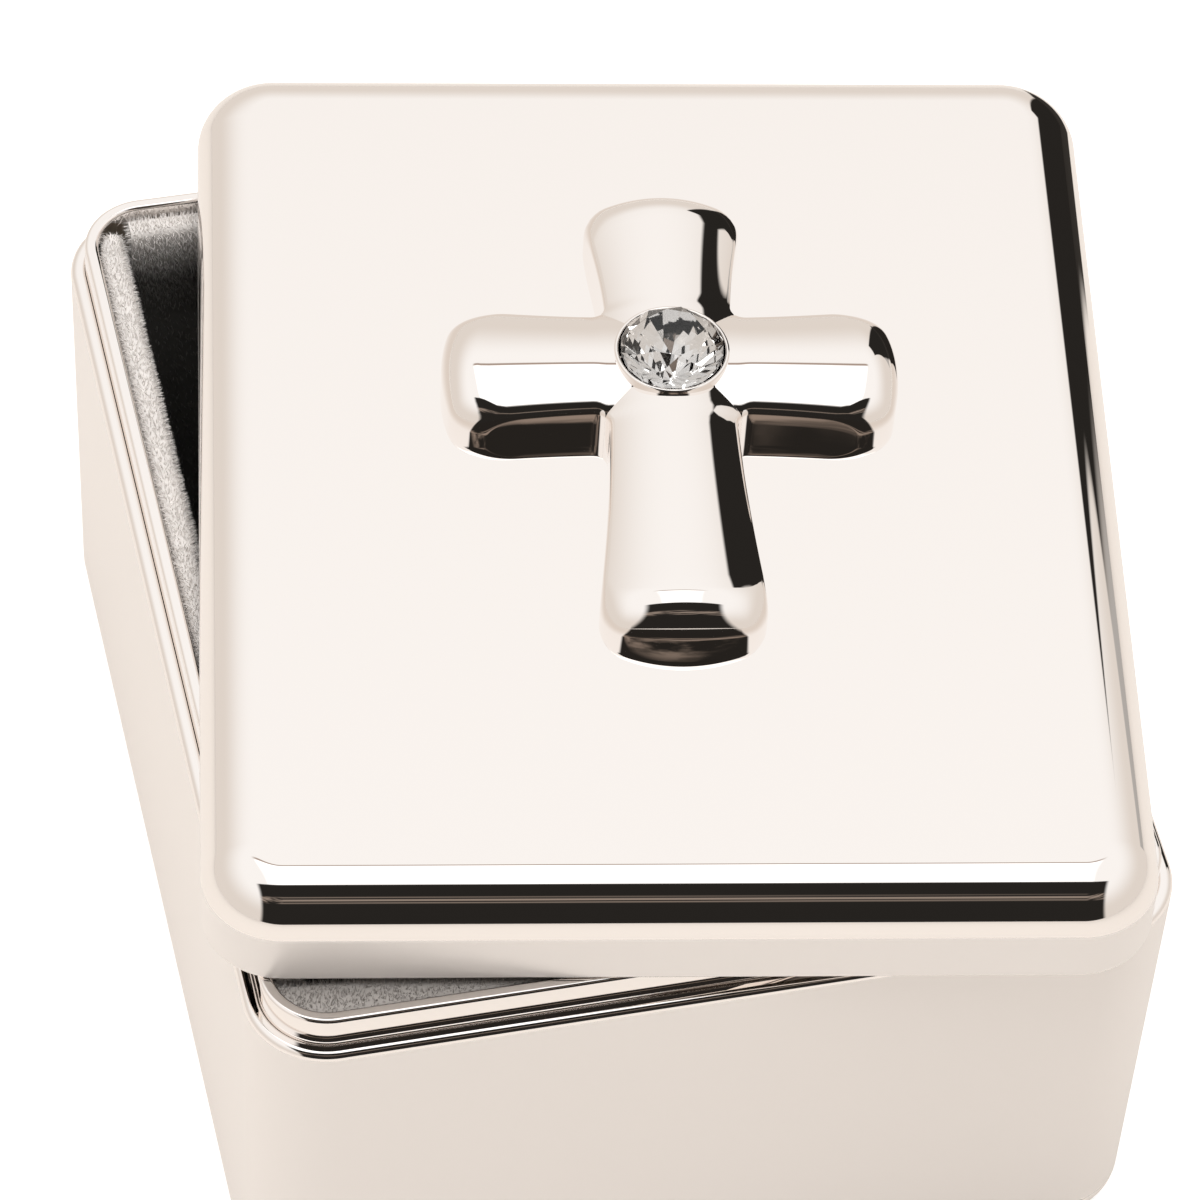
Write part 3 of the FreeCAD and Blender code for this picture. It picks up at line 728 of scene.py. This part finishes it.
def pile_tree(material):
    """Geometry Nodes that stand fibres on a pad: as dense as its "pile" attribute, and leaning a little."""
    tree = bpy.data.node_groups.new("velvet_pile", "GeometryNodeTree")
    face = tree.interface
    face.new_socket("Geometry", in_out="INPUT", socket_type="NodeSocketGeometry")
    for label in ("Pile length", "Fibre radius", "Lean", "Painted light"):
        face.new_socket(label, in_out="INPUT", socket_type="NodeSocketFloat")
    face.new_socket("Seed", in_out="INPUT", socket_type="NodeSocketInt")
    face.new_socket("Geometry", in_out="OUTPUT", socket_type="NodeSocketGeometry")
    wiring = Wiring(tree)
    given = wiring.add("NodeGroupInput")
    density = wiring.add("GeometryNodeInputNamedAttribute", {"Name": "pile"}, data_type="FLOAT")
    points = wiring.add("GeometryNodeDistributePointsOnFaces", {
        "Mesh": given["Geometry"], "Density": density["Attribute"], "Seed": given["Seed"]})
    fibre = wiring.add("GeometryNodeMeshCone", {
        "Vertices": FIBRE_SIDES, "Radius Top": 0.0, "Radius Bottom": given["Fibre radius"],
        "Depth": given["Pile length"]}, fill_type="NONE")

    def most(turns):
        """The furthest turns of a fibre one way."""
        return wiring.add("ShaderNodeVectorMath", {0: turns, "Scale": given["Lean"]},
                          operation="SCALE")["Vector"]

    def scatter(ends):
        """A number for each fibre, at random between two ends."""
        return wiring.add("FunctionNodeRandomValue", {"Min": ends[0], "Max": ends[1]},
                          data_type="FLOAT")["Value"]

    lean = wiring.add("FunctionNodeRandomValue", {
        "Min": most([-part for part in FIBRE_TURNS]), "Max": most(FIBRE_TURNS), "Seed": given["Seed"]},
        data_type="FLOAT_VECTOR")
    tilt = wiring.add("FunctionNodeRotateRotation", {
        "Rotation": points["Rotation"], "Rotate By": lean["Value"]}, rotation_space="LOCAL")
    stand = wiring.add("GeometryNodeInstanceOnPoints", {
        "Points": points["Points"], "Instance": fibre["Mesh"], "Rotation": tilt["Rotation"],
        "Scale": scatter(FIBRE_SIZES)})
    # Each fibre's lightness varies at random, times the pad's painted-light factor, which paints shade on the
    # front pad.
    fibre_tone_and_painted_light = wiring.both(scatter(FIBRE_TONES), given["Painted light"])
    tone_and_painted_light = wiring.add("GeometryNodeStoreNamedAttribute", {
        "Geometry": stand["Instances"], "Name": "tone_and_painted_light", "Value": fibre_tone_and_painted_light},
        data_type="FLOAT", domain="INSTANCE")
    real = wiring.add("GeometryNodeRealizeInstances", {"Geometry": tone_and_painted_light["Geometry"]})
    join = tree.nodes.new("GeometryNodeJoinGeometry")
    for part in (given, real):
        wiring.fill(join, {"Geometry": part["Geometry"]})
    dress = wiring.add("GeometryNodeSetMaterial", {
        "Geometry": join.outputs["Geometry"], "Material": material})
    wiring.add("NodeGroupOutput", {"Geometry": dress["Geometry"]})
    return tree


def lay_pad(where, mesh, body, lining, material, seed, density, painted_light=1.0):
    """Makes a padded piece of a pad and its fibres, as one plain mesh.

    The fibres stand as dense as a function of place and normal says; below 1 the last argument paints shade
    on the pad, pulling its pile towards the root colour.
    """
    give(mesh, "pile", [density(point.co, point.normal) * PER_AREA for point in mesh.vertices])
    give(mesh, "tone_and_painted_light", [ROOT_TONE * painted_light] * len(mesh.vertices))
    tree = bpy.data.node_groups.get("velvet_pile") or pile_tree(material)
    pad = new_object("pad", mesh)
    modifier = pad.modifiers.new("pile", "NODES")
    modifier.node_group = tree
    wanted = {"Pile length": lining.pile, "Fibre radius": lining.fibre, "Lean": lining.lean, "Painted light": painted_light,
              "Seed": seed}
    for item in tree.interface.items_tree:
        if item.in_out == "INPUT" and item.name in wanted:
            modifier[item.identifier] = wanted[item.name]
    graph = bpy.context.evaluated_depsgraph_get()
    piled = bpy.data.meshes.new_from_object(pad.evaluated_get(graph), depsgraph=graph)
    bpy.data.objects.remove(pad)
    piled.materials.clear()
    piled.materials.append(material)
    piled.name = f"{where}_lining"
    new_piece(f"{where}_lining", piled, body, "velvet", f"{where}_velvet")


def panel_mesh(name, lining, across, along, low, high, card, bends, corner):
    """Velvet over a card's face and top edge, with a padded edge.

    across gives the panel's back and front along X, along its two ends along Y. Past the two bends along Y
    the pad's back follows a round corner of the given plan radius.
    """
    back, front = across
    inward = 1 if front > back else -1
    full = abs(front - back)
    thick = full - lining.pile
    rounding = lining.edge_round
    bend = high - lining.pile - rounding
    card_top = high - lining.card_cover
    outline = [(card, low), (card, card_top), (lining.back_gap, card_top)]
    edge = arc((rounding, bend), rounding, 180, 90, PAD_EDGE_STEPS)
    edge += arc((thick - rounding, bend), rounding, 90, 0, PAD_EDGE_STEPS)
    outline += [(depth, height) for depth, height, _, _ in edge]
    outline += [(thick, bend - (bend - low) * row / PAD_ROWS) for row in range(1, PAD_ROWS + 1)]
    middle, half = (along[0] + along[1]) / 2, (along[1] - along[0]) / 2
    shape = bmesh.new()
    rings = []
    for piece in range(PAD_SLICES + 1):
        station = middle - half * math.cos(math.pi * piece / PAD_SLICES)
        into_corner = max(0.0, bends[0] - station, station - bends[1])
        lost = corner - math.sqrt(corner ** 2 - into_corner ** 2)
        squeeze = (full - lost) / full
        ring = []
        for depth, height in outline:
            place = Vector((back + inward * (thick - (thick - depth) * squeeze), station, height))
            wander = lining.unevenness * noise.noise(place * WANDER_SCALE)
            if depth > card and height > low + lining.still_foot:
                place.x += inward * wander
            if height > bend:
                place.z += wander
            ring.append(shape.verts.new(place))
        rings.append(ring)
    for near, far in zip(rings, rings[1:]):
        bridge(shape, near, far)
    shape.faces.new(rings[0])
    shape.faces.new(rings[-1])
    return shape_mesh(name, shape, crease=PAD_CREASE)


class KeepsakeOperator:
    """What the operators share."""
    bl_options = {"REGISTER", "UNDO"}


class KEEPSAKE_OT_tub(KeepsakeOperator, bpy.types.Operator):
    """Make the polished tub and the collar in its mouth"""
    bl_idname = "keepsake.tub"
    bl_label = "Tub and Collar"

    def execute(self, context):
        settings = context.scene.keepsake
        plate = finish(polished_plate, settings.colours)
        new_piece("tub", tub_mesh(settings.tub), "base", "silver_plate", "base_shell", plate)
        new_piece("collar", collar_mesh(settings.tub), "base", "silver_plate", "rim_collar", plate)
        return {"FINISHED"}


class KEEPSAKE_OT_lining(KeepsakeOperator, bpy.types.Operator):
    """Make the velvet over the cards in the tub and the lid"""
    bl_idname = "keepsake.lining"
    bl_label = "Velvet Lining"

    def execute(self, context):
        settings = context.scene.keepsake
        velvet = finish(velvet_pile, settings.colours, settings.lining)
        card = finish(stiff_card, settings.colours)
        for node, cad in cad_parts.items():
            if node.endswith("_card"):
                cad.data.materials.clear()
                cad.data.materials.append(card)
        for seed, side in enumerate(("left", "right", "front", "back"), start=1):
            self.wall(settings, side, velvet, seed)
        self.flat(settings, "floor", "base", Matrix.Identity(4), facing=1, velvet=velvet, seed=5)
        self.flat(settings, "lid", "lid", lid_place(settings), facing=-1, velvet=velvet, seed=6)
        return {"FINISHED"}

    def wall(self, settings, side, velvet, seed):
        """A pad on one of the tub's walls; it is made along Y and then turned into place."""
        lining, tub = settings.lining, settings.tub
        low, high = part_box(f"{side}_velvet")
        turn = Matrix.Rotation(math.radians(90 if side in ("front", "back") else 0), 4, "Z")
        unturn = turn.inverted()
        corners = [unturn @ low, unturn @ high]
        xs = sorted((corner.x for corner in corners), key=abs, reverse=True)
        ys = sorted(corner.y for corner in corners)
        card_low, card_high = (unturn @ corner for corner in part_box(f"{side}_card"))
        thick = abs(card_high.x - card_low.x)
        corner = tub.mouth_corner - lining.gap
        bends = list(ys)
        if side == "front":
            bends = [ys[0] + corner, ys[1] - corner]
            ys = [ys[0] + lining.end_gap, ys[1] - lining.end_gap]
        elif side != "back":
            bends[1] = tub.half_depth - tub.ledge - tub.collar_wall - tub.mouth_corner
            ys[1] += lining.side_reach
        mesh = panel_mesh(f"{side}_lining", lining, xs, ys, low.z, high.z, thick, bends, corner)
        mesh.transform(turn)
        inward = turn.to_3x3() @ Vector((1 if xs[1] > xs[0] else -1, 0, 0))
        rim = high.z - lining.rim_depth

        def density(place, normal):
            if normal.dot(inward) < WALL_PILE_FACING and normal.z < WALL_PILE_FACING:
                return 0.0
            return lining.rim_density if place.z > rim else lining.deep_density

        # Painted shade on the front pad, for the lid's shade over it.
        painted_light = lining.front_painted_light if side == "front" else 1.0
        lay_pad(side, mesh, "base", lining, velvet, seed, density, painted_light)

    def flat(self, settings, where, body, place, facing, velvet, seed):
        """A flat pad on the tub's floor or under the lid's top."""
        lining, tub, lid = settings.lining, settings.tub, settings.lid
        low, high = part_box(f"{where}_velvet")
        base = (place.inverted() @ Vector((0, 0, low.z))).z
        if facing < 0:
            base += lining.pile
            shell, inset, corner = lid, lid.edge_round + lining.gap, lid.corner - lid.wall
        else:
            inset = tub.ledge + tub.collar_wall + lining.gap
            shell, corner = tub, tub.corner - inset
        top = base + high.z - low.z - lining.pile
        edge = lining.flat_edge
        profile = arc((-edge, base + edge), edge, -90, 0, steps=4)
        profile += arc((-edge, top - edge), edge, 0, 90, steps=4)
        half_x, half_y = shell.half_width - inset, shell.half_depth - inset
        mesh = loft(f"{where}_lining", half_x, half_y, corner, profile, place)

        def density(at, normal):
            return lining.deep_density if normal.z * facing > FLAT_PILE_FACING else 0.0

        lay_pad(where, mesh, body, lining, velvet, seed, density)


class KEEPSAKE_OT_lid(KeepsakeOperator, bpy.types.Operator):
    """Make the polished cap lid"""
    bl_idname = "keepsake.lid"
    bl_label = "Cap Lid"

    def execute(self, context):
        settings = context.scene.keepsake
        plate = finish(polished_plate, settings.colours)
        mesh = lid_mesh(settings.lid, lid_place(settings))
        new_piece("lid", mesh, "lid", "silver_plate", "lid_shell", plate)
        return {"FINISHED"}


class KEEPSAKE_OT_cross(KeepsakeOperator, bpy.types.Operator):
    """Make the raised cross with its bezel"""
    bl_idname = "keepsake.cross"
    bl_label = "Raised Cross"

    def execute(self, context):
        settings = context.scene.keepsake
        plate = finish(polished_plate, settings.colours)
        mesh = cross_mesh(settings.cross, cross_place(settings))
        new_piece("raised_cross", mesh, "lid", "silver_plate", "cross", plate)
        return {"FINISHED"}


class KEEPSAKE_OT_stone(KeepsakeOperator, bpy.types.Operator):
    """Make the cut stone with its foil back"""
    bl_idname = "keepsake.stone"
    bl_label = "Cut Stone"

    def execute(self, context):
        settings = context.scene.keepsake
        stone = settings.stone
        girdle_top = settings.cross.seat_floor + stone.pavilion + stone.girdle
        seat = cross_place(settings) @ Matrix.Translation((0, 0, girdle_top))
        place = seat @ Matrix.Rotation(stone.turn, 4, "Z")
        glass = finish(cut_glass)
        foil = finish(stone_foil, settings.colours)
        new_piece("cut_stone", stone_mesh(stone, place), "lid", "crystal", "stone", glass, foil)
        return {"FINISHED"}


class KEEPSAKE_OT_stage(KeepsakeOperator, bpy.types.Operator):
    """Make the floor, the soft studio round the box and the camera"""
    bl_idname = "keepsake.stage"
    bl_label = "Studio"

    def execute(self, context):
        settings = context.scene.keepsake
        context.scene.view_settings.view_transform = "Standard"
        self.camera(context.scene, settings.studio)
        self.floor(settings)
        self.surroundings(context.scene, settings)
        self.lamp(settings.studio)
        return {"FINISHED"}

    def camera(self, scene, studio):
        """A long lens at the photograph's viewing angle."""
        data = bpy.data.cameras.new("camera")
        data.lens = studio.lens
        data.sensor_width = 36.0
        data.clip_start = 0.01
        camera = new_object("camera", data)
        around = Matrix.Rotation(studio.azimuth, 4, "Z")
        tilt = Matrix.Rotation(math.pi / 2 - studio.elevation, 4, "X")
        lean = Matrix.Rotation(-studio.roll, 4, "Z")
        back = Matrix.Translation((0, 0, studio.distance))
        camera.matrix_world = Matrix.Translation(studio.aim) @ around @ tilt @ lean @ back
        scene.camera = camera

    def floor(self, settings):
        """A pale sheet below the box; the camera sees it washed out to white, except for the box's shadow."""
        studio = settings.studio
        half = studio.floor_half
        mesh = bpy.data.meshes.new("floor")
        corners = [(-half, -half, 0), (half, -half, 0), (half, half, 0), (-half, half, 0)]
        mesh.from_pydata(corners, [], [(0, 1, 2, 3)])
        material = bpy.data.materials.new("pale_floor")
        material.use_nodes = True
        material.node_tree.nodes.clear()
        wiring = Wiring(material.node_tree)
        place = wiring.place()
        seen = wiring.add("ShaderNodeLightPath")["Is Camera Ray"]
        _, _, around, _ = self.bearings(wiring, place, settings.lid.turn)
        reach = wiring.add("ShaderNodeVectorMath", {0: place}, operation="LENGTH")["Value"]
        far = wiring.rise(reach, studio.flag_reach, FLAG_FADE * studio.flag_reach)
        shaded = wiring.both(far, wiring.band(around, *FLAG_AROUND))
        mirrored = wiring.math("SUBTRACT", 1.0, seen)
        colour = wiring.mix(wiring.both(shaded, mirrored), studio.floor_colour, studio.dark)
        cloth = wiring.add("ShaderNodeBsdfDiffuse", {"Color": colour})
        glow = wiring.add("ShaderNodeEmission", {
            "Color": wiring.mix(seen, colour, WHITE),
            "Strength": wiring.math("ADD", studio.floor_glow, wiring.both(seen, studio.floor_wash))})
        sheet = wiring.add("ShaderNodeAddShader", {0: cloth["BSDF"], 1: glow["Emission"]})
        wiring.add("ShaderNodeOutputMaterial", {"Surface": sheet["Shader"]})
        mesh.materials.append(material)
        floor = new_object("floor", mesh)
        floor.location.z = -studio.floor_drop

    def bearings(self, wiring, direction, lid_turn):
        """A direction's four angles from the lid: over the top, sideways, round the box and above the level.

        Over the top runs from 0 in front by 90 straight up to 180 at the back; round the box is 0 at the
        back.
        """
        turned = wiring.add("ShaderNodeVectorRotate", {"Vector": direction, "Angle": -lid_turn},
                            rotation_type="Z_AXIS")
        unit = wiring.add("ShaderNodeVectorMath", {0: turned["Vector"]}, operation="NORMALIZE")
        parts = wiring.add("ShaderNodeSeparateXYZ", {"Vector": unit["Vector"]})
        x, y, z = (parts[axis] for axis in "XYZ")
        over = wiring.math("ARCTAN2", z, wiring.both(y, -1.0))
        sideways = wiring.math("ARCSINE", x)
        around = wiring.math("ARCTAN2", x, y)
        above = wiring.math("ARCSINE", z)
        return [wiring.both(turn, math.degrees(1)) for turn in (over, sideways, around, above)]

    def surroundings(self, scene, settings):
        """What the plate mirrors: pale walls, a light panel, a dark front and a dark flag at the right."""
        studio = settings.studio
        world = bpy.data.worlds.new("studio")
        world.use_nodes = True
        scene.world = world
        tree = world.node_tree
        wiring = Wiring(tree)
        place = wiring.add("ShaderNodeTexCoord")["Generated"]
        over, sideways, around, above = self.bearings(wiring, place, settings.lid.turn)
        walls = wiring.mix(wiring.rise(above, *WALLS_ABOVE), studio.wall_low, studio.wall_high)
        panel = wiring.both(wiring.band(over, *PANEL_OVER), wiring.band(sideways, *PANEL_SIDE))
        edge = wiring.both(wiring.band(over, *EDGE_OVER), wiring.band(sideways, *EDGE_SIDE))
        front = wiring.both(wiring.band(over, *FRONT_OVER), wiring.band(sideways, *FRONT_SIDE))
        stretched = wiring.add("ShaderNodeVectorMath", {0: place, 1: CLUTTER_STRETCH}, operation="MULTIPLY")
        clutter = wiring.add("ShaderNodeTexNoise", {"Vector": stretched["Vector"], "Scale": 5.0,
                                                    "Detail": 5.0})
        streak = wiring.both(wiring.band(over, *STREAK_OVER), wiring.rise(clutter["Fac"], *CLUTTER_SHOWS))
        past = wiring.math("MAXIMUM", wiring.math("SUBTRACT", around, FLAG_BEND_AROUND), 0.0)
        height = wiring.math("ADD", above, wiring.both(past, FLAG_SLOPE))
        low = wiring.math("SUBTRACT", 1.0, wiring.rise(height, *FLAG_TOP_ABOVE))
        flag = wiring.both(low, wiring.band(around, *FLAG_AROUND))
        beside = wiring.both(low, wiring.band(around, *BESIDE_AROUND))
        seen = wiring.add("ShaderNodeLightPath")["Is Camera Ray"]
        colour = walls
        for share, over_it in ((panel, studio.panel), (edge, studio.panel_edge),
                               (front, wiring.mix(streak, studio.dark, studio.streak)),
                               (beside, studio.flag_side), (flag, studio.dark), (seen, WHITE)):
            colour = wiring.mix(share, colour, over_it)
        background = next(node for node in tree.nodes if node.type == "BACKGROUND")
        wiring.fill(background, {"Color": colour, "Strength": 1.0})

    def lamp(self, studio):
        """A broad soft lamp above the box, for the cloth."""
        data = bpy.data.lights.new("lamp", "AREA")
        data.shape = "SQUARE"
        data.size = studio.lamp_size
        data.energy = studio.lamp_power
        lamp = new_object("lamp", data)
        lamp.visible_glossy = False
        lamp.location = studio.lamp_place
        lamp.rotation_euler = Vector(studio.lamp_place).to_track_quat("Z", "Y").to_euler()


class KEEPSAKE_PT_panel(bpy.types.Panel):
    """The box's steps and sizes"""
    bl_label = "Keepsake Box"
    bl_space_type = "VIEW_3D"
    bl_region_type = "UI"
    bl_category = "Keepsake"

    def draw(self, context):
        for operator in OPERATORS:
            self.layout.operator(operator.bl_idname)
        settings = context.scene.keepsake
        for group in settings.__annotations__:
            box = self.layout.box()
            box.label(text=group.capitalize())
            part = getattr(settings, group)
            for name in part.__annotations__:
                box.prop(part, name)


GROUPS = (TubSizes, LidSizes, CrossSizes, StoneSizes, LiningSizes, FinishColours, StudioSizes,
          KeepsakeSettings)
OPERATORS = (KEEPSAKE_OT_tub, KEEPSAKE_OT_lining, KEEPSAKE_OT_lid, KEEPSAKE_OT_cross, KEEPSAKE_OT_stone,
             KEEPSAKE_OT_stage)
CLASSES = (*GROUPS, *OPERATORS, KEEPSAKE_PT_panel)


def register():
    for item in CLASSES:
        bpy.utils.register_class(item)
    bpy.types.Scene.keepsake = bpy.props.PointerProperty(type=KeepsakeSettings)


def unregister():
    del bpy.types.Scene.keepsake
    for item in reversed(CLASSES):
        bpy.utils.unregister_class(item)


def main():
    """Builds the box and its studio."""
    register()
    bpy.ops.keepsake.tub()
    bpy.ops.keepsake.lining()
    bpy.ops.keepsake.lid()
    bpy.ops.keepsake.cross()
    bpy.ops.keepsake.stone()
    bpy.ops.keepsake.stage()
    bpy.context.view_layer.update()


if __name__ == "__main__":
    main()
